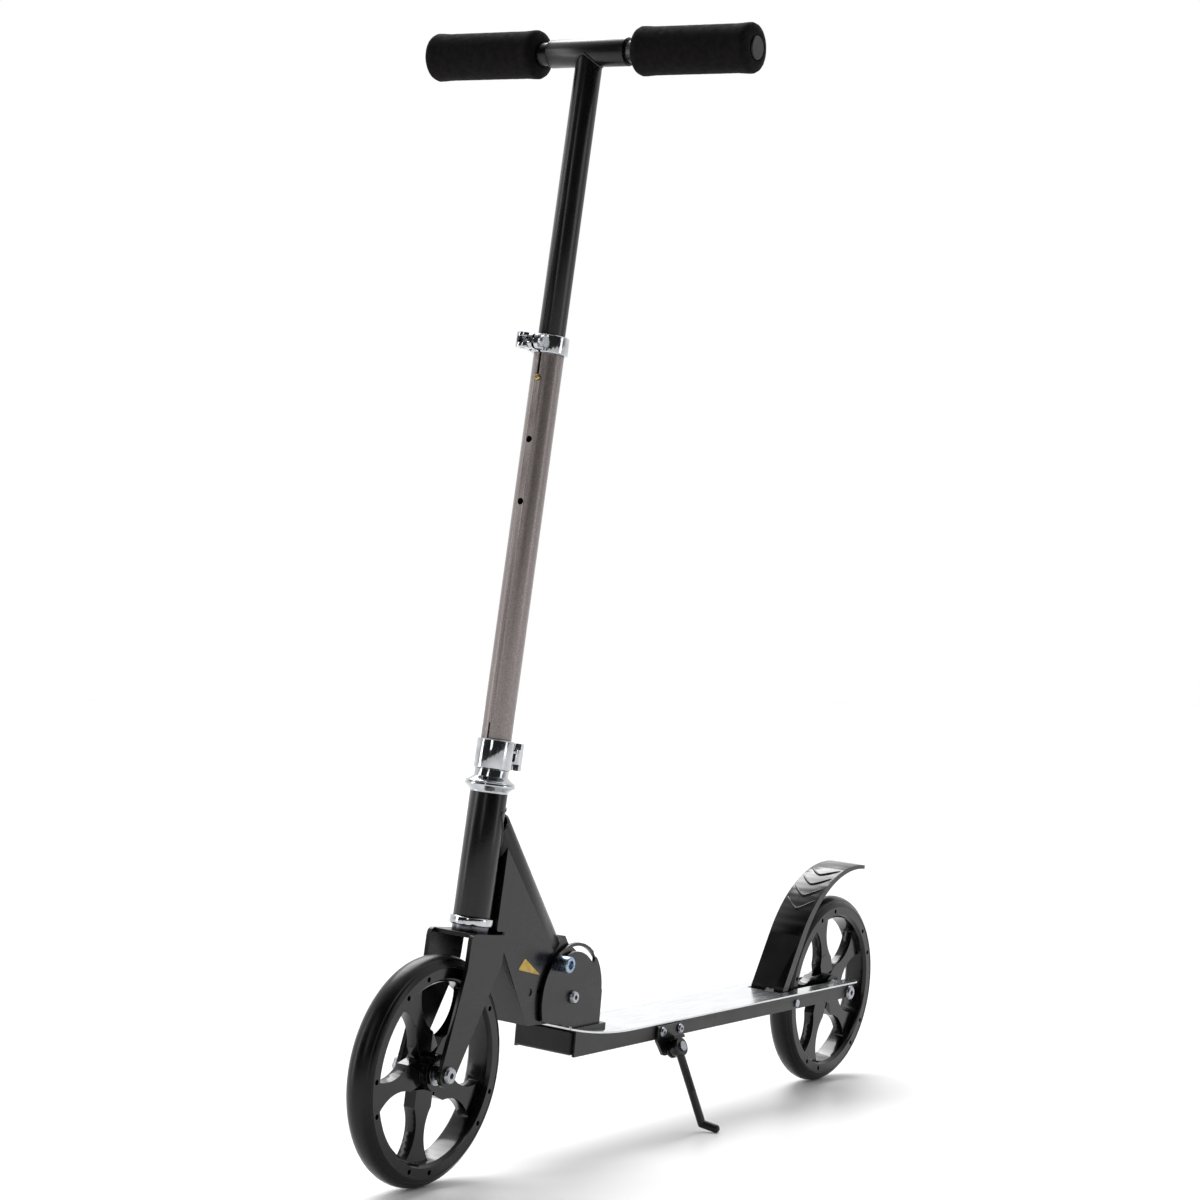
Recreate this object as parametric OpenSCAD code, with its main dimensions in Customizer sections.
// Folding kick scooter, standing on its kickstand.
// Everything is drawn upright, with the rear axle over x = 0, +X forward, +Y to the left and the
// floor at z = 0. The module stand() then leans it onto the kickstand and moves the origin to the
// middle of the floor under it.

/* [Overall] */
// Distance between the wheel axles
wheelbase = 726.5; // [620:0.5:900]
// Height of the handlebar's centre line, scooter upright
bar_height = 992; // [820:1:1200]
// Lean onto the kickstand, in degrees
lean = 5.75; // [4:0.25:8]
// Backward rake of the steering column, in degrees
rake = 5.37; // [3:0.01:9]
// Length of the handlebar over its grips
bar_span = 340; // [280:1:420]

/* [Wheels] */
// Outer radius of the tyre
wheel_r = 100; // [80:1:120]
// Width of the tyre, which is twice its crown radius
tyre_w = 30; // [24:0.5:32]
// Height of the tyre above its seat on the rim
tyre_h = 10; // [6:0.5:12]
// Width of the rim and of the hub
rim_w = 26; // [22:0.5:28]
// Depth of the rim from its seat to its inner barrel
rim_depth = 12; // [8:0.5:14]
// Number of spokes
spoke_count = 5; // [4:1:7]
// Thickness of a spoke along the axle
spoke_t = 11.5; // [8:0.5:16]
// Width of a spoke at its narrow middle
spoke_w = 13; // [9:0.5:18]
// Outer radius of a wheel bearing
bearing_r = 11; // [9.5:0.5:13]
// Width of a wheel bearing
bearing_w = 7; // [5:0.5:8]
// Radius of the axle bolts
axle_r = 4; // [3:0.25:5]

/* [Deck] */
// Half the width of the deck
deck_half_w = 33; // [30:0.5:48]
// Height of the deck's top above the axles
deck_over_axle = 10; // [6:0.5:20]
// Height of the deck's side flanges
flange_h = 15.5; // [14:0.5:22]
// Thickness of the top sheet
sheet_t = 1.6; // [1:0.1:3]
// Thickness of the channel's web under the sheet
web_t = 2; // [1.5:0.1:3]
// Thickness of the channel's flanges
flange_t = 3; // [2:0.1:4]
// Where the flat part of the deck ends
deck_flat = 440; // [400:1:460]
// Radius of the deck's upturned front
upturn_r = 522; // [450:1:700]
// Front edge of the deck
deck_front = 550; // [540:1:560]
// Half the width of the rear wheel's slot
slot_half_w = 17; // [16.5:0.5:22]
// Front end of the rear wheel's slot
slot_end = 113; // [110:1:130]

/* [Folding bracket] */
// Place of the fold pivot along the deck
pivot_x = 534; // [528:1:540]
// Height of the fold pivot above the deck's flat top
pivot_up = 37; // [34:0.5:44]
// Radius of the bracket plates about the pivot
bracket_r = 49.5; // [47:0.5:56]
// Half the space between the bracket plates
bracket_in = 17; // [16.8:0.1:20]
// Thickness of a bracket plate
bracket_t = 3; // [2:0.1:4]
// Distance of the lock skewer from the pivot
lock_r = 44; // [40:0.5:44]
// Angle that the frame folds through, in degrees
fold_angle = 84.6; // [75:0.1:86]
// Radius of the lock skewer
skewer_r = 2.5; // [2:0.1:3]
// Radius of the pivot bolt
pivot_r = 4; // [3:0.25:5]

/* [Front frame] */
// Outer radius of the down tube
down_r = 16.5; // [14:0.25:16.5]
// Distance that the down tube's axis passes above the pivot
down_off = 8.6; // [6:0.1:9]
// Outer radius of the head tube
head_r = 16.5; // [16:0.25:20]
// Length of the head tube
head_len = 108; // [96:1:140]
// Wall of the steel tubes
tube_wall = 2; // [1.5:0.1:3]

/* [Steering] */
// Distance of the front axle in front of the steering axis
fork_offset = 38; // [30:0.5:46]
// Height of the fork's top over its axle, along the column
fork_h = 120; // [116:1:140]
// Outer half width of the fork
fork_half_w = 24; // [22:0.5:30]
// Thickness of the fork's plates
fork_t = 4; // [3:0.1:5]
// Radius of the steerer tube
steerer_r = 12; // [10.5:0.25:12]
// Outer radius of the grey lower tube
lower_r = 13.5; // [13.2:0.1:16]
// Length of the grey lower tube
lower_len = 379.5; // [330:0.5:440]
// Radius of the stem tube
stem_r = 12; // [10.5:0.25:12]
// Length of stem left inside the lower tube
stem_inside = 70; // [50:1:90]
// Distance between height settings
height_step = 55; // [40:1:60]
// Number of height settings
height_count = 3; // [2:1:4]

/* [Handlebar] */
// Outer radius of the handlebar's T sleeve
sleeve_r = 12.5; // [12:0.25:16]
// Length of the T sleeve
sleeve_len = 81; // [60:1:110]
// Radius of the handlebar tubes
bar_r = 10.25; // [9:0.25:10.25]
// Outer radius of a grip
grip_r = 21.8; // [15:0.1:24]
// Length of a grip
grip_len = 118; // [95:1:118]

/* [Fender brake] */
// Half the width of the fender
fender_half_w = 19; // [17.5:0.5:19.5]
// Thickness of the fender's sheet
fender_t = 2; // [1.5:0.1:3]
// Depth of the fender's turned-down sides
fender_skirt = 10; // [6:0.5:12]
// Radius of the fender's curve
fender_r = 136; // [132:1:140]

/* [Kickstand] */
// Place of the kickstand along the deck
kick_x = 378; // [340:1:420]
// Radius of the kickstand's rod
kick_r = 4; // [3:0.25:5]
// Sideways reach of the kickstand's foot from the scooter's middle
kick_reach = 81; // [74:0.5:86]

/* [Fits] */
// Radial clearance of running fits and of pressed seats
fit = 0.05; // [0.03:0.01:0.08]
// Gap between pieces that move past each other
gap = 0.3; // [0.2:0.05:0.5]

/* [Hidden] */
$fn = 96;

far = 400;
corner_steps = 8;
crown_r = tyre_w / 2;
deck_z = wheel_r + deck_over_axle;
base_top = deck_z + 8;
pivot = [pivot_x, deck_z + pivot_up];
bracket_out = bracket_in + bracket_t;
lug_half_w = bracket_in - 0.5;

// The column frame: u forward and s up, both measured from where the steering axis meets the floor
column_x = wheelbase - (fork_offset - wheel_r * sin(rake)) / cos(rake);
axle_s = (column_x - wheelbase) * sin(rake) + wheel_r * cos(rake);
crown_s = axle_s + fork_h;
head_s = crown_s + 13;
head_top = head_s + head_len;
lower_s = head_top + 20.5;
lower_top = lower_s + lower_len;
bar_s = bar_height / cos(rake);
lower_collar_h = 26;
upper_collar_h = 16;
collar_s = lower_top + 3 - upper_collar_h;
button_s = lower_top - 35;
button_r = 2.7;
height_hole_r = 3;
stem_s = lower_top - stem_inside;
steerer_top = lower_s + 72;
fork_in = fork_half_w - fork_t;

// Quick-release levers, and the collars' ears that their clamp bolts pass through
cam_r = 7;
cam_pin_r = 2.5;
clamp_bolt_r = 2.5;
upper_ear_half_w = 5.2;
lower_ear_half_w = 7.5;
ear_bolt_x = lower_r + 9.5;
ear_reach = lower_r + 15;
lower_turn = 212;

// The down tube leaves the head tube 79 mm above its lower end
down_top = [column_x - (head_s + 79) * sin(rake) - 11 * cos(rake), (head_s + 79) * cos(rake)];
down_span = norm(down_top - pivot);
down_angle = atan2(down_top.y - pivot.y, down_top.x - pivot.x) - asin(down_off / down_span);
down_len = sqrt(down_span * down_span - down_off * down_off);
lug_len = 53;
quadrant_t = 6;
quadrant_turn = 76;

// The fender's hinge pin, and the centre of the fender's curve
fender_pin_x = slot_end + 6;
fender_pin_z = deck_z - 9.5;
fender_top = wheel_r + 134.5;
fender_mid = [-25, fender_top - fender_r];
fender_foot = [fender_pin_x + 5, deck_z + 2];
fender_pin_r = 2.5;
fender_tail = -52;
fender_tip = 101.5;
skirt_taper = 6.5;

// The kickstand's hinge, its bend and its foot
kick_pivot = [kick_x, deck_half_w + 8.5, deck_z - 25];
kick_axis_yaw = 3.9;
kick_axis_up = 23.6;
knee_z = 46.9;
kick_knee = [kick_x - 7.8, kick_pivot.y + (kick_reach - kick_pivot.y) * 0.46, knee_z];
foot_len = 15;
heel_up = 2;

// Height of the floor under a point y to the left of the upright scooter
function floor_z(y) = crown_r * (1 - 1 / cos(lean)) + y * tan(lean);

// Leans the upright scooter onto its kickstand and puts the origin under its middle
module stand() {
    translate([-wheelbase / 2, -bar_height * sin(lean), crown_r * (1 - cos(lean))])
        rotate([-lean, 0, 0])
            children();
}

// Places children in the column frame
module on_column() {
    translate([column_x, 0, 0])
        rotate([0, -rake, 0])
            children();
}

// Places children at the fold pivot, with X up along the down tube
module on_down_tube() {
    translate([pivot.x, 0, pivot.y])
        rotate([0, -down_angle, 0])
            children();
}

// Stands a flat outline up in the side plane, between y = low and y = high
module side_plate(low, high) {
    translate([0, high, 0])
        rotate([90, 0, 0])
            linear_extrude(height = high - low)
                children();
}

// A cylinder along Y between y = low and y = high
module rod_y(low, high, r) {
    translate([0, low, 0])
        rotate([-90, 0, 0])
            cylinder(r = r, h = high - low);
}

// A tube along Z
module tube(r, inner_r, low, high) {
    translate([0, 0, low])
        difference() {
            cylinder(r = r, h = high - low);
            translate([0, 0, -1])
                cylinder(r = inner_r, h = high - low + 2);
        }
}

// A round bar between two points
module bar(a, b, r) {
    d = b - a;
    translate(a)
        rotate([0, acos(d.z / norm(d)), atan2(d.y, d.x)])
            cylinder(r = r, h = norm(d));
}

// A hexagon nut or bolt head along Z
module hexagon(across, h) {
    cylinder(r = across / sqrt(3), h = h, $fn = 6);
}

// Points of the arc that rounds the corner b between a and c
function rounded(a, b, c, r) =
    let (u = (a - b) / norm(a - b), v = (c - b) / norm(c - b))
    let (half = acos(u * v) / 2, mid = (u + v) / norm(u + v))
    let (centre = b + mid * r / sin(half), first = b + u * r / tan(half) - centre)
    let (start = atan2(first.y, first.x), last = b + v * r / tan(half) - centre)
    let (sweep = atan2(first.x * last.y - first.y * last.x, first * last))
    [for (i = [0:corner_steps])
        centre + r * [cos(start + sweep * i / corner_steps), sin(start + sweep * i / corner_steps)]];

// An outline from corners [x, y, radius]
function outline(corners) =
    let (n = len(corners))
    [for (i = [0:n - 1])
        let (a = corners[(i + n - 1) % n], b = corners[i], c = corners[(i + 1) % n])
        each b.z == 0 ? [[b.x, b.y]] : rounded([a.x, a.y], [b.x, b.y], [c.x, c.y], b.z)];

// A convex outline, listed anticlockwise, moved in by d
function inset(points, d) =
    let (n = len(points))
    [for (i = [0:n - 1])
        let (a = points[(i + n - 1) % n], b = points[i], c = points[(i + 1) % n])
        let (p = (b - a) / norm(b - a), q = (c - b) / norm(c - b))
        let (side = [-p.y - q.y, p.x + q.x])
        b + side * d / (1 + p * q)];

// A point in the side plane from its place in the column frame
function column_point(u, s) =
    [column_x + u * cos(rake) - s * sin(rake), u * sin(rake) + s * cos(rake)];

// Rings of a round wire along a list of points, as one closed mesh
module wire(points, r, sides = 8) {
    n = len(points);
    rings = [for (i = [0:n - 1])
        let (d = points[min(i + 1, n - 1)] - points[max(i - 1, 0)])
        let (t = d / norm(d), side = cross(t, [0.31, 0.11, 0.94]))
        let (a = side / norm(side), b = cross(a, t))
        each [for (k = [0:sides - 1])
            points[i] + r * (a * cos(360 * k / sides) + b * sin(360 * k / sides))]];
    walls = [for (i = [0:n - 2], k = [0:sides - 1])
        let (m = (k + 1) % sides)
        [i * sides + k, i * sides + m, (i + 1) * sides + m, (i + 1) * sides + k]];
    first = [for (k = [sides - 1:-1:0]) k];
    last = [for (k = [0:sides - 1]) (n - 1) * sides + k];
    polyhedron(points = rings, faces = concat(walls, [first, last]));
}

// ---- Wheels, drawn about the origin with the axle along Y ----

module wheel_tyre() {
    seat = wheel_r - tyre_h + fit;
    rotate([-90, 0, 0])
        rotate_extrude($fn = 180)
            intersection() {
                translate([wheel_r - crown_r, 0])
                    circle(r = crown_r);
                translate([seat, -tyre_w])
                    square([tyre_h + 1, 2 * tyre_w]);
            }
}

module spoke_outline() {
    seat = wheel_r - tyre_h - rim_depth + 2;
    middle = seat * 0.63;
    waist_r = 38;
    spoke_root = 12.1;
    spoke_foot = 20;
    translate([middle, 0])
        rotate(-6)
            translate([-middle, 0])
                difference() {
                    union() {
                        translate([bearing_r + 4, -spoke_root])
                            square([seat - bearing_r - 4, 2 * spoke_root]);
                        translate([middle, -spoke_foot])
                            square([seat - middle, 2 * spoke_foot]);
                    }
                    for (side = [-1, 1])
                        translate([middle, side * (waist_r + spoke_w / 2)])
                            circle(r = waist_r);
                }
}

module wheel_core(turn) {
    seat = wheel_r - tyre_h;
    hole_ring = seat - 4.5;
    rotate([90, -turn, 0])
        difference() {
            union() {
                rotate_extrude($fn = 180)
                    polygon([
                        [seat - rim_depth, -rim_w / 2 + 3], [seat - rim_depth + 3, -rim_w / 2],
                        [seat, -rim_w / 2], [seat, rim_w / 2],
                        [seat - rim_depth + 3, rim_w / 2], [seat - rim_depth, rim_w / 2 - 3]]);
                translate([0, 0, -rim_w / 2])
                    cylinder(r = bearing_r + 5, h = rim_w);
                for (i = [0:spoke_count - 1])
                    rotate(i * 360 / spoke_count)
                        translate([0, 0, -spoke_t / 2])
                            linear_extrude(height = spoke_t)
                                spoke_outline();
            }
            for (end = [-1, 1])
                translate([0, 0, end * (rim_w / 2 - bearing_w / 2)])
                    cylinder(r = bearing_r + fit, h = bearing_w + 0.01, center = true);
            cylinder(r = bearing_r - 2, h = rim_w, center = true);
            for (i = [0:spoke_count - 1], side = [-10, 10])
                rotate(i * 360 / spoke_count + side)
                    translate([hole_ring, 0, 0])
                        cylinder(r = 2.25, h = rim_w + 2, center = true, $fn = 32);
        }
}

module wheel_bearings() {
    groove_in = axle_r + 2.2;
    groove_out = bearing_r - 1.6;
    for (end = [-1, 1])
        translate([0, end * (rim_w - bearing_w) / 2, 0])
            rotate([90, 0, 0])
                difference() {
                    cylinder(r = bearing_r, h = bearing_w - 0.1, center = true);
                    cylinder(r = axle_r + fit, h = bearing_w + 1, center = true);
                    for (face = [-1, 1])
                        translate([0, 0, face * bearing_w / 2])
                            difference() {
                                cylinder(r = groove_out, h = 0.9, center = true);
                                cylinder(r = groove_in, h = 2, center = true);
                            }
                }
}

module wheel_sleeve() {
    half = rim_w / 2 - bearing_w;
    rotate([-90, 0, 0])
        tube(axle_r + 2, axle_r + fit, -half + fit, half - fit);
}

// Both spacers between the wheel's bearings and the plates that hold the axle
module axle_spacers(plate_in) {
    for (side = [-1, 1])
        rotate([side * 90, 0, 0])
            tube(axle_r + 2, axle_r + fit, rim_w / 2 + 0.1, plate_in - 0.05);
}

// Bolt through two plates with its button head on the left
module axle_bolt(plate_out) {
    rod_y(-plate_out - 7, plate_out, axle_r);
    difference() {
        translate([0, plate_out, 0])
            rotate([-90, 0, 0])
                rotate_extrude()
                    polygon([[0, 0], [7.5, 0], [7.5, 2], [6.2, 4], [0, 4]]);
        translate([0, plate_out + 1.6, 0])
            rotate([-90, 0, 0])
                hexagon(5, 4);
    }
}

module axle_nut(plate_out) {
    translate([0, -plate_out - 6.5, 0])
        rotate([-90, 0, 0])
            difference() {
                hexagon(13, 6.45);
                translate([0, 0, -1])
                    cylinder(r = axle_r + fit, h = 9);
            }
}

// ---- Deck ----

// Side view of a layer of the deck, from its rear end to its front end
module deck_layer(top, thick, rear, front) {
    translate([rear, deck_z - top - thick])
        square([deck_flat - rear, thick]);
    intersection() {
        translate([deck_flat, deck_z + upturn_r])
            difference() {
                circle(r = upturn_r + top + thick, $fn = 360);
                circle(r = upturn_r + top, $fn = 360);
            }
        translate([deck_flat, deck_z - top - thick])
            square([front - deck_flat, 60]);
    }
}

// Opening for the rear wheel and the fender's foot
module rear_slot(wheel_half_w) {
    translate([-far, -wheel_half_w, 0])
        cube([far + slot_end, 2 * wheel_half_w, 2 * deck_z]);
    translate([slot_end - 10, -fender_half_w - 1.5, 0])
        cube([28, 2 * fender_half_w + 3, 2 * deck_z]);
}

module deck_top() {
    tail = 28;
    prong = deck_half_w - slot_half_w;
    color("gainsboro")
        stand()
            difference() {
                intersection() {
                    side_plate(-deck_half_w, deck_half_w)
                        deck_layer(0, sheet_t, -tail, deck_front);
                    linear_extrude(height = 2 * deck_z)
                        polygon(outline([
                            [-tail, -deck_half_w, prong * 0.75], [deck_front, -deck_half_w, 2],
                            [deck_front, deck_half_w, 2], [-tail, deck_half_w, prong * 0.75]]));
                }
                rear_slot(slot_half_w);
            }
}

module deck_channel() {
    rear = -10;
    front = deck_front - 7;
    color([0.2, 0.2, 0.22])
        stand()
            difference() {
                side_plate(-deck_half_w, deck_half_w)
                    deck_under(sheet_t + 0.02, flange_h, rear, front);
                side_plate(-deck_half_w + flange_t, deck_half_w - flange_t)
                    deck_under(sheet_t + web_t, flange_h + 5, rear - 5, front + 5);
                rear_slot(slot_half_w);
                translate([0, 0, wheel_r])
                    rod_y(-far, far, axle_r + fit);
                translate([fender_pin_x, 0, fender_pin_z])
                    rod_y(-far, far, fender_pin_r + fit);
                kick_bolt_places()
                    rod_y(-20, 20, 2.5 + fit);
            }
}

module nose_block() {
    front = deck_front - 3;
    low = deck_z - flange_h + 1.5;
    half_w = deck_half_w - flange_t - 0.1;
    color([0.07, 0.07, 0.07])
        stand()
            difference() {
                side_plate(-half_w, half_w)
                    polygon([[front - 20, low], [front - 2, low], [front, low + 2],
                        [front, deck_z + 30], [front - 20, deck_z + 30]]);
                side_plate(-far, far)
                    deck_cover(sheet_t + web_t);
            }
}

// Everything above a line that runs below the deck's top by drop
module deck_cover(drop) {
    translate([deck_flat, deck_z + upturn_r])
        circle(r = upturn_r + drop, $fn = 360);
}

// Side view from drop under the deck's top down to a straight edge at depth
module deck_under(drop, depth, rear, front) {
    difference() {
        translate([rear, deck_z - depth])
            square([front - rear, depth + 20]);
        translate([rear - 1, deck_z - drop])
            square([deck_flat - rear + 1, 40]);
        intersection() {
            deck_cover(drop);
            translate([deck_flat, deck_z - drop - 1])
                square([front, 60]);
        }
    }
}

module bracket_base() {
    rear = pivot.x - 57;
    front = pivot.x + 12;
    half_w = bracket_out + 3;
    color([0.08, 0.08, 0.08])
        stand()
            intersection() {
                side_plate(-half_w, half_w)
                    translate([rear, deck_z])
                        square([front - rear, base_top - deck_z]);
                side_plate(-half_w - 1, half_w + 1)
                    deck_cover(-0.02);
            }
}

module bracket_outline() {
    difference() {
        intersection() {
            translate(pivot)
                union() {
                    circle(r = bracket_r, $fn = 180);
                    translate([-bracket_r - 1, -60])
                        square([bracket_r + 41, 60 + 2]);
                }
            deck_cover(-0.02);
            translate([pivot.x - 80, base_top + 0.02])
                square([160, 200]);
        }
        translate(pivot) {
            circle(r = pivot_r + fit);
            lock_slot();
            // Shallow thumb notch at the rear of the rim
            rotate(133)
                translate([bracket_r + 7, 0])
                    circle(r = 8.5);
        }
    }
}

// Arc slot about the pivot that the lock skewer runs in
module lock_slot() {
    half = skewer_r + 0.15;
    steps = 12;
    intersection() {
        difference() {
            circle(r = lock_r + half, $fn = 180);
            circle(r = lock_r - half, $fn = 180);
        }
        polygon(concat([[0, 0]], [for (i = [0:steps])
            2 * lock_r * [cos(down_angle + fold_angle * i / steps),
                sin(down_angle + fold_angle * i / steps)]]));
    }
    // The round ends are a little wider than the slot
    for (end = [0, fold_angle])
        rotate(down_angle + end)
            translate([lock_r, 0])
                circle(r = half + 0.08);
}

module bracket_plate(side) {
    color([0.08, 0.08, 0.08])
        stand()
            side_plate(side > 0 ? bracket_in : -bracket_out, side > 0 ? bracket_out : -bracket_in)
                bracket_outline();
}

module bracket_plate_left() {
    bracket_plate(1);
}

module bracket_plate_right() {
    bracket_plate(-1);
}

module pivot_bolt() {
    color("silver")
        stand()
            translate([pivot.x, 0, pivot.y]) {
                rod_y(-bracket_out - 5, bracket_out, pivot_r);
                difference() {
                    translate([0, bracket_out, 0])
                        rotate([-90, 0, 0])
                            rotate_extrude()
                                polygon([[0, 0], [6, 0], [6, 1.8], [4.8, 4.2], [0, 4.2]]);
                    translate([0, bracket_out + 2, 0])
                        rotate([-90, 0, 0])
                            hexagon(4, 4);
                }
            }
}

module pivot_nut() {
    color("silver")
        stand()
            translate([pivot.x, -bracket_out - 5, pivot.y])
                rotate([-90, 0, 0])
                    difference() {
                        hexagon(11, 4.95);
                        translate([0, 0, -1])
                            cylinder(r = pivot_r + fit, h = 8);
                    }
}

module nose_rivets() {
    along = asin((deck_front - 7 - deck_flat) / upturn_r);
    color("silver")
        stand()
            translate([deck_flat, 0, deck_z + upturn_r])
                rotate([0, -along, 0])
                    for (side = [-1, 1])
                        translate([0, side * (deck_half_w - 8), 0.02 - upturn_r])
                            cylinder(r1 = 3, r2 = 1.8, h = 1.4);
}

module rear_axle_bolt() {
    color("silver")
        stand()
            translate([0, 0, wheel_r])
                axle_bolt(deck_half_w);
}

module rear_axle_nut() {
    color("silver")
        stand()
            translate([0, 0, wheel_r])
                axle_nut(deck_half_w);
}

module rear_axle_spacers() {
    color("silver")
        stand()
            translate([0, 0, wheel_r])
                axle_spacers(deck_half_w - flange_t);
}

// ---- Fender brake ----

module fender_pin() {
    color("silver")
        stand()
            translate([fender_pin_x, 0, fender_pin_z]) {
                rod_y(-deck_half_w - 1, deck_half_w + 0.5, fender_pin_r);
                rod_y(deck_half_w + 0.05, deck_half_w + 2, fender_pin_r + 1.5);
            }
}

module fender_spring() {
    turns = 4;
    per_turn = 14;
    coil_r = fender_pin_r + 1.4;
    half = 5;
    color("silver")
        stand()
            translate([fender_pin_x, 0, fender_pin_z])
                wire(concat(
                    [[-coil_r, -half, -5]],
                    [for (i = [0:turns * per_turn])
                        [coil_r * cos(180 + 360 * i / per_turn),
                            -half + 2 * half * i / (turns * per_turn),
                            coil_r * sin(180 + 360 * i / per_turn)]],
                    [[-coil_r, half, 8]]), 0.7, 6);
}

// Side view of the fender's band, moved in by d and thick deep
module fender_band(d, thick) {
    reach = norm(fender_foot - fender_mid);
    toward = atan2(fender_foot.y - fender_mid.y, fender_foot.x - fender_mid.x);
    start = toward + acos(fender_r / reach);
    touch = fender_mid + fender_r * [cos(start), sin(start)];
    away = [cos(start), sin(start)];
    intersection() {
        translate(fender_mid)
            difference() {
                circle(r = fender_r - d, $fn = 360);
                translate(skirt_taper * [-sin(start), cos(start)])
                    circle(r = fender_r - d - thick, $fn = 360);
            }
        translate(fender_mid)
            polygon([[0, 0], 2 * fender_r * [cos(start), sin(start)],
                2 * fender_r * [cos(start + 36), sin(start + 36)],
                2 * fender_r * [cos(fender_tip), sin(fender_tip)]]);
    }
    polygon([touch - d * away, touch - (d + thick) * away, fender_foot - (d + thick) * away,
        fender_foot - d * away]);
}

module rear_fender() {
    inner = fender_half_w - fender_t;
    knuckle_in = 8;
    color([0.1, 0.1, 0.1])
        stand()
            difference() {
                union() {
                    intersection() {
                        difference() {
                            side_plate(-fender_half_w, fender_half_w)
                                fender_band(0, fender_skirt);
                            side_plate(-inner, inner)
                                fender_band(fender_t, fender_skirt);
                        }
                        translate([0, 0, -1])
                            linear_extrude(height = far)
                                polygon(outline([
                                    [fender_tail, -fender_half_w, 13], [far, -fender_half_w, 0],
                                    [far, fender_half_w, 0], [fender_tail, fender_half_w, 13]]));
                    }
                    for (side = [-1, 1])
                        translate([fender_pin_x, side * (knuckle_in + fender_half_w) / 2,
                            fender_pin_z])
                            rod_y(-(fender_half_w - knuckle_in) / 2,
                                (fender_half_w - knuckle_in) / 2, 5);
                    for (side = [-1, 1])
                        side_plate(side > 0 ? knuckle_in : -fender_half_w,
                            side > 0 ? fender_half_w : -knuckle_in)
                            polygon([[fender_pin_x + 5, fender_pin_z],
                                fender_foot + [0, 0.5], fender_foot + [-4, 6],
                                fender_foot + [-9, 3], [fender_pin_x - 5, fender_pin_z]]);
                }
                translate([fender_pin_x, 0, fender_pin_z])
                    rod_y(-far, far, fender_pin_r + fit);
            }
}

// ---- Kickstand ----

module kick_bolt_places() {
    for (side = [-1, 1])
        translate([kick_x + side * 16, deck_half_w, deck_z - 8.2])
            children();
}

module on_kick_hinge() {
    translate(kick_pivot)
        rotate([0, 0, -kick_axis_yaw])
            rotate([kick_axis_up, 0, 0])
                children();
}

module kickstand_bracket() {
    half_l = 24;
    t = 3;
    color([0.08, 0.08, 0.08])
        stand()
            difference() {
                union() {
                    side_plate(deck_half_w + 0.03, deck_half_w + t)
                        polygon(outline([
                            [kick_x - half_l, deck_z - flange_h - 1, 3],
                            [kick_x - 12, deck_z - 32, 4], [kick_x + 10, deck_z - 32, 4],
                            [kick_x + half_l, deck_z - flange_h - 1, 3],
                            [kick_x + half_l, deck_z - 2.5, 3],
                            [kick_x - half_l, deck_z - 2.5, 3]]));
                    on_kick_hinge()
                        rod_y(-4.5, -1.5, 8.5);
                    on_kick_hinge()
                        rod_y(7.5, 9.5, 8.5);
                    on_kick_hinge()
                        translate([-8.5, -4.5, 8.3])
                            cube([17, 14, 3]);
                }
                kick_bolt_places()
                    rod_y(-20, 20, 2.5 + fit);
                on_kick_hinge()
                    rod_y(-20, 20, 3 + fit);
                translate([kick_x - 50, 0, 0])
                    cube([100, deck_half_w + 0.03, 2 * deck_z]);
            }
}

module kickstand_bolts() {
    color("silver")
        stand()
            kick_bolt_places() {
                rod_y(-flange_t - 4, 3, 2.5);
                difference() {
                    translate([0, 3.02, 0])
                        rotate([-90, 0, 0])
                            rotate_extrude()
                                polygon([[0, 0], [4.6, 0], [4.6, 1.2], [3.4, 2.8], [0, 2.8]]);
                    translate([0, 4.4, 0])
                        rotate([-90, 0, 0])
                            hexagon(3, 4);
                }
                translate([0, -flange_t - 4, 0])
                    rotate([-90, 0, 0])
                        hexagon(8, 3.95);
            }
}

module kickstand_pin() {
    color("silver")
        stand()
            on_kick_hinge() {
                rod_y(-1.4, 9.6, 3);
                rod_y(9.6, 11.4, 4.6);
            }
}

module kickstand_leg() {
    foot_z = floor_z(kick_reach) + kick_r / cos(lean);
    shoulder = kick_pivot + [-1.9, 5, -3.1];
    heel = [kick_x - 22, kick_reach - foot_len, foot_z + heel_up];
    toe = [kick_x - 23, kick_reach, foot_z];
    route = [shoulder, kick_knee, heel, toe];
    color([0.1, 0.1, 0.1])
        stand()
            difference() {
                union() {
                    on_kick_hinge()
                        rod_y(-1.1, 7.2, 8);
                    for (i = [0:len(route) - 2])
                        bar(route[i], route[i + 1], kick_r);
                    for (i = [1:len(route) - 1])
                        translate(route[i])
                            sphere(r = kick_r + 0.04, $fn = 64);
                }
                on_kick_hinge()
                    rod_y(-20, 20, 3 + fit);
            }
}

// ---- Wheels in place ----

module at_rear_axle() {
    stand()
        translate([0, 0, wheel_r])
            children();
}

module at_front_axle() {
    stand()
        translate([wheelbase, 0, wheel_r])
            children();
}

module rear_tyre() {
    color([0.05, 0.05, 0.05])
        at_rear_axle()
            wheel_tyre();
}

module rear_wheel_core() {
    color([0.12, 0.12, 0.12])
        at_rear_axle()
            wheel_core(3);
}

module rear_bearings() {
    color("silver")
        at_rear_axle()
            wheel_bearings();
}

module rear_bearing_sleeve() {
    color("silver")
        at_rear_axle()
            wheel_sleeve();
}

module front_tyre() {
    color([0.05, 0.05, 0.05])
        at_front_axle()
            wheel_tyre();
}

module front_wheel_core() {
    color([0.12, 0.12, 0.12])
        at_front_axle()
            wheel_core(-8);
}

module front_bearings() {
    color("silver")
        at_front_axle()
            wheel_bearings();
}

module front_bearing_sleeve() {
    color("silver")
        at_front_axle()
            wheel_sleeve();
}

// ---- Front frame ----

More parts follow.
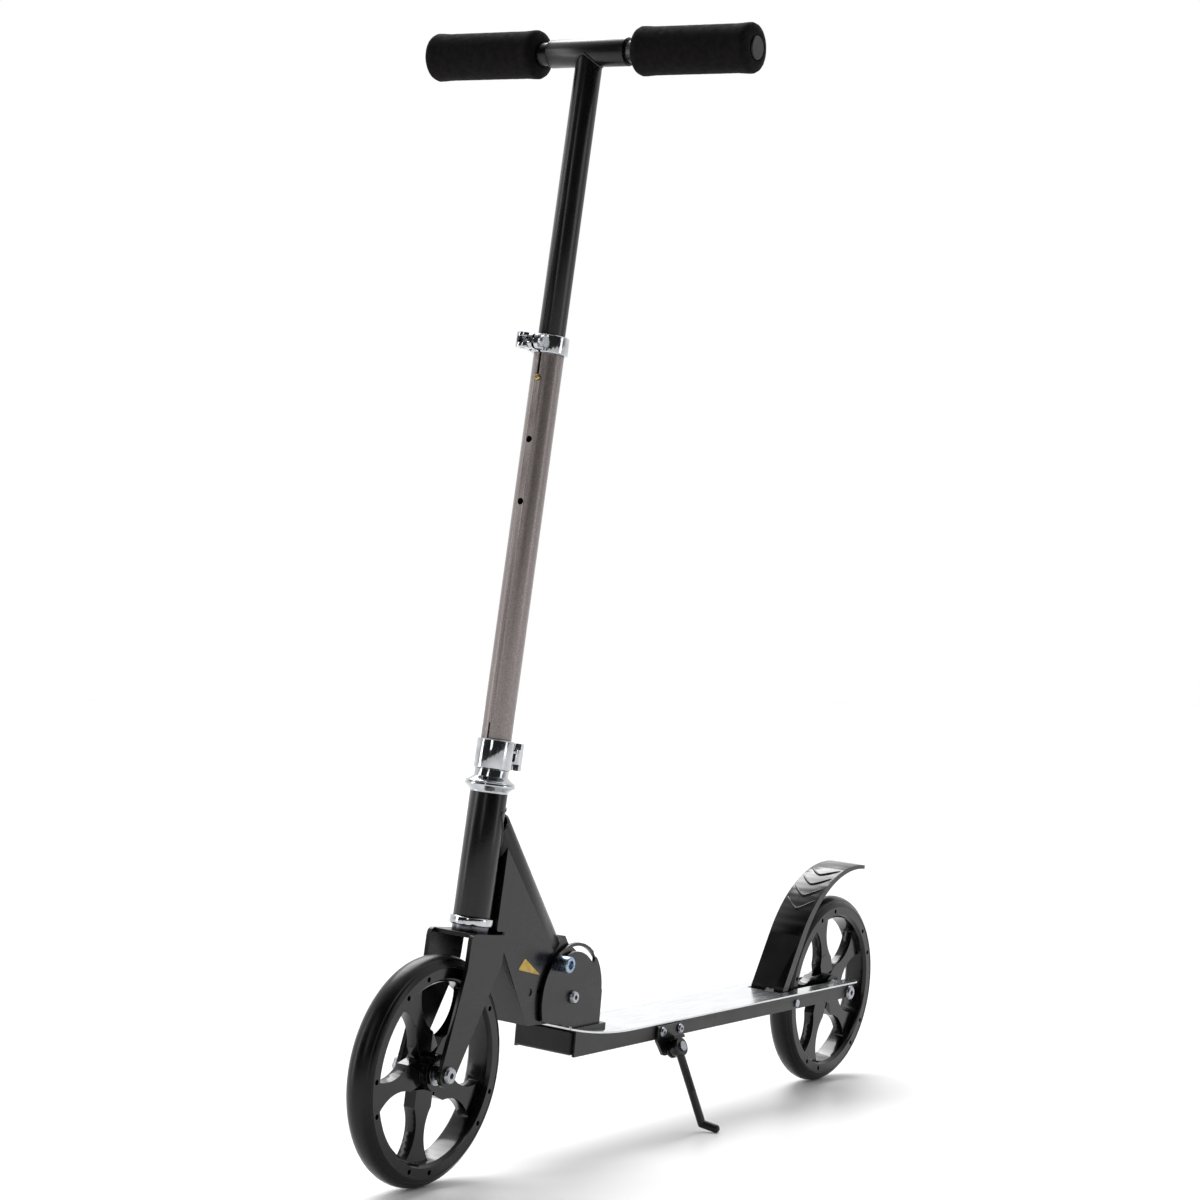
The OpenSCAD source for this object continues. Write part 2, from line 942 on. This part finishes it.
module head_tube() {
    color([0.08, 0.08, 0.08])
        stand()
            on_column()
                tube(head_r, head_r - tube_wall, head_s, head_top);
}

module head_space(extra) {
    on_column()
        translate([0, 0, head_s - 60])
            cylinder(r = head_r + extra, h = head_len + 120);
}

module down_tube() {
    color([0.08, 0.08, 0.08])
        stand()
            difference() {
                on_down_tube()
                    translate([lug_len + 0.02, 0, down_off])
                        rotate([0, 90, 0])
                            difference() {
                                cylinder(r = down_r, h = down_len - lug_len);
                                translate([0, 0, -1])
                                    cylinder(r = down_r - tube_wall, h = down_len);
                            }
                head_space(0.02);
            }
}

// The knuckle's side view, grown by more
module lug_outline(more) {
    low = down_off - down_r - more;
    circle(r = 20 + more);
    translate([0, low])
        square([lug_len + more, 2 * down_r + 2 * more]);
}

module fold_lug() {
    color([0.08, 0.08, 0.08])
        stand()
            on_down_tube()
                difference() {
                    union() {
                        intersection() {
                            side_plate(-lug_half_w, lug_half_w)
                                lug_outline(0);
                            side_plate(-lug_half_w, lug_half_w)
                                union() {
                                    circle(r = 20);
                                    polygon([[-8, -19], [lug_len, -19], [lug_len, 60],
                                        [26, 60], [-8, 18]]);
                                }
                        }
                        translate([lug_len, 0, down_off])
                            rotate([0, 90, 0])
                                cylinder(r = down_r - tube_wall - fit, h = 18);
                        // Web that closes the lock slot from inside
                        side_plate(-quadrant_t / 2, quadrant_t / 2)
                            intersection() {
                                circle(r = bracket_r - 3.5, $fn = 180);
                                polygon([[0, 0], [2 * bracket_r, 0], [bracket_r, 2 * bracket_r],
                                    2 * bracket_r * [cos(quadrant_turn), sin(quadrant_turn)]]);
                            }
                    }
                    rod_y(-far, far, pivot_r + fit);
                    translate([lock_r, 0, 0])
                        rod_y(-far, far, skewer_r + fit);
                }
}

// Side view of the box under the down tube, anticlockwise from its lower rear corner
function gusset_corners() = [
    [pivot.x + 10, base_top + 6],
    [pivot.x + 66, base_top + 9],
    column_point(-head_r - 1.6, crown_s + 3.7),
    column_point(-head_r - 1.6, head_s + 62),
    pivot + (lug_len + 2) * [cos(down_angle), sin(down_angle)]
        + 4.6 * [-sin(down_angle), cos(down_angle)],
    pivot + [6, 10]];

module gusset() {
    wall = 2.5;
    half_w = 16;
    hook = [pivot.x + 49, pivot.y + 10];
    color([0.09, 0.09, 0.09])
        stand()
            difference() {
                side_plate(-half_w, half_w)
                    polygon(gusset_corners());
                side_plate(-half_w + wall, half_w - wall)
                    polygon(inset(gusset_corners(), wall));
                on_down_tube() {
                    side_plate(-far, far)
                        lug_outline(0.05);
                    translate([0, 0, down_off])
                        rotate([0, 90, 0])
                            cylinder(r = down_r + 0.03, h = down_len);
                }
                // Room for the fork's plates as it steers
                on_column()
                    translate([0, 0, crown_s - 60])
                        cylinder(r = norm([23, fork_half_w]) + 1, h = 62);
                head_space(0.8);
                // Room for the lower headset cup
                on_column()
                    translate([0, 0, crown_s])
                        cylinder(r = head_r + 2.9, h = head_s - crown_s + 0.6);
                translate([hook.x + 16, half_w - 1, hook.y])
                    rod_y(0, 5, 3.5);
                translate([hook.x, half_w - 1.5, hook.y])
                    rotate([0, 15, 0])
                        translate([-4.5, 0, -1.6])
                            cube([9, 5, 3.2]);
            }
}

module headset_cup_upper() {
    color("silver")
        stand()
            on_column()
                translate([0, 0, head_top])
                    rotate_extrude()
                        polygon([[steerer_r + 0.6, -9], [head_r - tube_wall - fit, -9],
                            [head_r - tube_wall - fit, 0.03], [head_r + 0.2, 0.03],
                            [head_r + 0.4, 1.5], [22.2, 6.2], [22.2, 8],
                            [20.4, 8], [20.4, 4.5], [steerer_r + 0.6, 4.5]]);
}

module headset_cup_lower() {
    color("silver")
        stand()
            on_column()
                translate([0, 0, head_s])
                    rotate_extrude()
                        polygon([[steerer_r + 0.6, 9], [steerer_r + 0.6, -4.5],
                            [17, -4.5], [17, -7.5], [18.4, -7.5], [19, -6.5],
                            [19, -1], [17.5, -0.03], [head_r - tube_wall - fit, -0.03],
                            [head_r - tube_wall - fit, 9]]);
}

module lock_skewer() {
    pin = 12;
    color("silver")
        stand()
            on_down_tube()
                translate([lock_r, 0, 0]) {
                    rod_y(-cam_out(bracket_out), bracket_out + 10, skewer_r);
                    translate([0, -cam_out(bracket_out), -pin / 2])
                        cylinder(r = 2.5, h = pin);
                }
}

module lock_nut() {
    color([0.7, 0.75, 0.82])
        stand()
            on_down_tube()
                translate([lock_r, bracket_out + gap, 0])
                    rotate([-90, 0, 0])
                        rotate_extrude()
                            polygon([[skewer_r + fit, 0], [7.5, 0], [7.5, 12.7], [6.5, 13.7],
                                [4, 13.7], [4, 10], [skewer_r + fit, 10]]);
}

// ---- Quick-release cam lever ----

// Distance of a cam's pin from the far side of the middle of what it clamps
function cam_out(seat) = seat + gap + cam_r;

// Lever about its pin along Z. The clamp bolt comes from +Y and the handle points to +X, or to -X
// where reach is below zero.
module cam_lever(reach, rod_r, handle_h) {
    half_h = 6.5;
    difference() {
        union() {
            translate([0, 0, -half_h])
                cylinder(r = cam_r, h = 2 * half_h);
            translate([0, 0, -handle_h / 2])
                linear_extrude(height = handle_h)
                    polygon(outline([
                        [0, -cam_r, 0], [reach * 0.35, -cam_r, 4], [reach * 0.62, -cam_r - 2, 6],
                        [reach, -cam_r - 1, 1.5], [reach, -cam_r + 2.2, 1.5],
                        [reach * 0.6, -cam_r + 1.8, 6], [reach * 0.38, -cam_r + 2.4, 5],
                        [sign(reach) * (cam_r - 1), 2, 1], [0, 2, 0]]));
        }
        cylinder(r = cam_pin_r + fit, h = 2 * handle_h, center = true);
        // The clamp bolt stays put in this slot while the lever turns
        translate([0, 0, -rod_r - gap])
            linear_extrude(height = 2 * (rod_r + gap))
                scale([sign(reach), 1])
                    polygon([[rod_r + gap, 0], [rod_r + gap, 2 * cam_r],
                        [-2 * cam_r, 2 * cam_r], [-2 * cam_r, -rod_r - gap - 1],
                        [0, -rod_r - gap]]);
    }
}

module fold_lever() {
    color("silver")
        stand()
            on_down_tube()
                translate([lock_r, -cam_out(bracket_out), 0])
                    cam_lever(52, skewer_r, 9);
}

// ---- Steering ----

module fork_leg(side) {
    top = 6;
    color([0.08, 0.08, 0.08])
        stand()
            on_column()
                difference() {
                    side_plate(side > 0 ? fork_in : -fork_half_w, side > 0 ? fork_half_w : -fork_in)
                        union() {
                            polygon(outline([
                                [-22, crown_s, 0.5], [-20.7, crown_s - 26, 12],
                                [fork_offset - 10.5, axle_s - 3, 0],
                                [fork_offset + 10.5, axle_s + 3, 0],
                                [30, crown_s - 30, 40], [30, crown_s, top]]));
                            translate([fork_offset, axle_s])
                                circle(r = 11);
                        }
                    translate([fork_offset, 0, axle_s])
                        rod_y(-far, far, axle_r + fit);
                }
}

module fork_leg_left() {
    fork_leg(1);
}

module fork_leg_right() {
    fork_leg(-1);
}

module fork_crown() {
    color([0.08, 0.08, 0.08])
        stand()
            on_column()
                difference() {
                    translate([-22, -fork_in + 0.02, crown_s - fork_t])
                        cube([46, 2 * fork_in - 0.04, fork_t]);
                    cylinder(r = steerer_r + fit, h = far);
                }
}

module steerer_tube() {
    color([0.3, 0.3, 0.3])
        stand()
            on_column()
                tube(steerer_r, steerer_r - tube_wall, crown_s - fork_t, steerer_top);
}

module headset_bearings() {
    color("silver")
        stand()
            on_column() {
                tube(16, steerer_r + fit, crown_s + 0.03, head_s - 4.7);
                tube(19, steerer_r + fit, head_top + 4.7, head_top + 8.3);
            }
}

module headset_dust_cap() {
    color("silver")
        stand()
            on_column()
                translate([0, 0, head_top])
                    rotate_extrude()
                        polygon([[steerer_r + fit, 8.4], [21.8, 8.4], [21.8, 9.6], [17, 12.5],
                            [15, 14], [15, 20.4], [steerer_r + fit, 20.4]]);
}

module lower_tube() {
    slit = 2.4;
    color([0.45, 0.42, 0.42])
        stand()
            on_column()
                difference() {
                    tube(lower_r, stem_r + 0.3, lower_s, lower_top);
                    translate([0, -slit / 2, button_s])
                        cube([2 * lower_r, slit, far]);
                    for (i = [0:height_count - 1])
                        translate([0, 0, button_s - i * height_step])
                            rotate([0, 90, 0])
                                cylinder(r = height_hole_r, h = 2 * lower_r);
                    translate([0, -0.8, lower_s + 26])
                        cube([2 * lower_r, 1.6, 14]);
                }
}

// Split collar around the lower tube, with ears that point to +X
module collar(low, high, ear_half_w) {
    slit = 2.4;
    middle = (low + high) / 2;
    difference() {
        union() {
            translate([0, 0, low])
                rotate_extrude()
                    polygon([[lower_r + fit, 0], [lower_r + 2, 0], [lower_r + 2.8, 1],
                        [lower_r + 2.8, high - low - 1], [lower_r + 2, high - low],
                        [lower_r + fit, high - low]]);
            translate([0, ear_half_w, 0])
                rotate([90, 0, 0])
                    linear_extrude(height = 2 * ear_half_w)
                        polygon(outline([
                            [lower_r + 1, low + 1, 0], [ear_reach, low + 1.5, 5],
                            [ear_reach, high - 1.5, 5], [lower_r + 1, high - 1, 0]]));
        }
        translate([0, -slit / 2, low - 1])
            cube([far, slit, high - low + 2]);
        translate([ear_bolt_x, 0, middle])
            rod_y(-far, far, clamp_bolt_r + fit);
        translate([0, 0, low - 1])
            cylinder(r = lower_r + fit, h = high - low + 2);
    }
}

// Clamp bolt along Y with a cross pin for the cam at -Y and a barrel nut at +Y
module clamp_bolt(seat) {
    nut_t = 5;
    rod_y(-cam_out(seat), seat + nut_t, clamp_bolt_r);
    rod_y(seat + 0.03, seat + nut_t, 5.2);
    translate([0, -cam_out(seat), -6])
        cylinder(r = cam_pin_r, h = 12);
}

module at_upper_bolt() {
    stand()
        on_column()
            translate([ear_bolt_x, 0, collar_s + upper_collar_h / 2])
                children();
}

module upper_collar() {
    color("silver")
        stand()
            on_column()
                collar(collar_s, collar_s + upper_collar_h, upper_ear_half_w);
}

module upper_clamp_bolt() {
    color("silver")
        at_upper_bolt()
            clamp_bolt(upper_ear_half_w);
}

module upper_lever() {
    color("silver")
        at_upper_bolt()
            translate([0, -cam_out(upper_ear_half_w), 0])
                cam_lever(-40, clamp_bolt_r, 11);
}

module at_lower_bolt() {
    stand()
        on_column()
            rotate(lower_turn)
                translate([ear_bolt_x, 0, lower_s + lower_collar_h / 2])
                    children();
}

module lower_collar() {
    color("silver")
        stand()
            on_column()
                rotate(lower_turn)
                    collar(lower_s, lower_s + lower_collar_h, lower_ear_half_w);
}

module lower_clamp_bolt() {
    color("silver")
        at_lower_bolt()
            clamp_bolt(lower_ear_half_w);
}

module lower_lever() {
    color("silver")
        at_lower_bolt()
            translate([0, -cam_out(lower_ear_half_w), 0])
                cam_lever(30, clamp_bolt_r, 24);
}

module front_axle_bolt() {
    color("silver")
        at_front_axle()
            axle_bolt(fork_half_w);
}

module front_axle_nut() {
    color("silver")
        at_front_axle()
            axle_nut(fork_half_w);
}

module front_axle_spacers() {
    color("silver")
        at_front_axle()
            axle_spacers(fork_in);
}

// ---- Stem and handlebar ----

module stem_tube() {
    color([0.06, 0.06, 0.06])
        stand()
            on_column()
                difference() {
                    tube(stem_r, stem_r - tube_wall, stem_s, bar_s);
                    translate([0, 0, button_s])
                        rotate([0, 90, 0])
                            cylinder(r = button_r + fit, h = 2 * stem_r);
                    translate([0, 0, bar_s])
                        rod_y(-far, far, sleeve_r + 0.02);
                }
}

module at_bar() {
    stand()
        on_column()
            translate([0, 0, bar_s])
                children();
}

module handlebar_sleeve() {
    half = sleeve_len / 2;
    color([0.06, 0.06, 0.06])
        at_bar()
            difference() {
                rotate([-90, 0, 0])
                    tube(sleeve_r, bar_r + fit, -half, half);
                translate([-sleeve_r - 1, half - 9, -0.7])
                    cube([sleeve_r + 1, 20, 1.4]);
            }
}

module handlebar_tubes() {
    color([0.06, 0.06, 0.06])
        at_bar()
            for (side = [-1, 1])
                rotate([-90 * side, 0, 0])
                    tube(bar_r, bar_r - tube_wall, 2, bar_span / 2 - 4);
}

module grip(side) {
    end = bar_span / 2 - 1;
    start = end - grip_len;
    color([0.1, 0.1, 0.1])
        at_bar()
            rotate([-90 * side, 0, 0])
                rotate_extrude()
                    polygon(outline([
                        [bar_r + fit, start, 0], [grip_r - 1, start, 4], [grip_r, start + 10, 6],
                        [grip_r - 0.6, start + 16, 4], [grip_r - 0.6, end - 14, 4],
                        [grip_r, end - 9, 6], [grip_r - 2, end, 5], [bar_r + fit, end, 0]]));
}

module grip_left() {
    grip(1);
}

module grip_right() {
    grip(-1);
}

module grip_end_caps() {
    end = bar_span / 2;
    color([0.05, 0.05, 0.05])
        at_bar()
            for (side = [-1, 1])
                rotate([-90 * side, 0, 0])
                    rotate_extrude()
                        polygon([[0, end - 20], [bar_r - tube_wall - fit, end - 20],
                            [bar_r - tube_wall - fit, end - 3.95], [bar_r, end - 3.95],
                            [bar_r, end - 0.8], [bar_r - 0.8, end], [0, end]]);
}

module spring_button() {
    color([0.8, 0.6, 0.25])
        stand()
            on_column()
                translate([0, 0, button_s])
                    rotate([0, 90, 0])
                        rotate_extrude()
                            polygon([[0, 6], [button_r + 1, 6], [button_r + 1, 7.6],
                                [button_r, 7.6], [button_r, lower_r + 0.6],
                                [button_r - 0.9, lower_r + 1.6], [0, lower_r + 1.6]]);
}

// Leaf spring bent to a U inside the stem, which pushes the button out
module button_spring() {
    leaf = 0.6;
    front = 5.9;
    back = -(stem_r - tube_wall - 0.4);
    low = button_s - 26;
    color("silver")
        stand()
            on_column()
                difference() {
                    side_plate(-2.5, 2.5)
                        polygon(outline([
                            [back, low, 6], [front, low, 6], [front, button_s + 6, 0],
                            [back, button_s + 6, 0]]));
                    side_plate(-3, 3)
                        polygon(outline([
                            [back + leaf, low + leaf, 5.4], [front - leaf, low + leaf, 5.4],
                            [front - leaf, button_s + 7, 0], [back + leaf, button_s + 7, 0]]));
                }
}

deck_top();
deck_channel();
nose_block();
bracket_base();
bracket_plate_left();
bracket_plate_right();
pivot_bolt();
pivot_nut();
nose_rivets();
rear_axle_bolt();
rear_axle_nut();
rear_axle_spacers();
fender_pin();
fender_spring();
kickstand_bracket();
kickstand_bolts();
kickstand_pin();
rear_fender();
kickstand_leg();
rear_tyre();
rear_wheel_core();
rear_bearings();
rear_bearing_sleeve();
head_tube();
down_tube();
gusset();
fold_lug();
headset_cup_upper();
headset_cup_lower();
lock_skewer();
lock_nut();
fold_lever();
fork_crown();
fork_leg_left();
fork_leg_right();
steerer_tube();
headset_bearings();
headset_dust_cap();
lower_tube();
lower_collar();
lower_clamp_bolt();
upper_collar();
upper_clamp_bolt();
front_axle_bolt();
front_axle_nut();
front_axle_spacers();
lower_lever();
upper_lever();
front_tyre();
front_wheel_core();
front_bearings();
front_bearing_sleeve();
stem_tube();
handlebar_sleeve();
handlebar_tubes();
grip_left();
grip_right();
grip_end_caps();
spring_button();
button_spring();
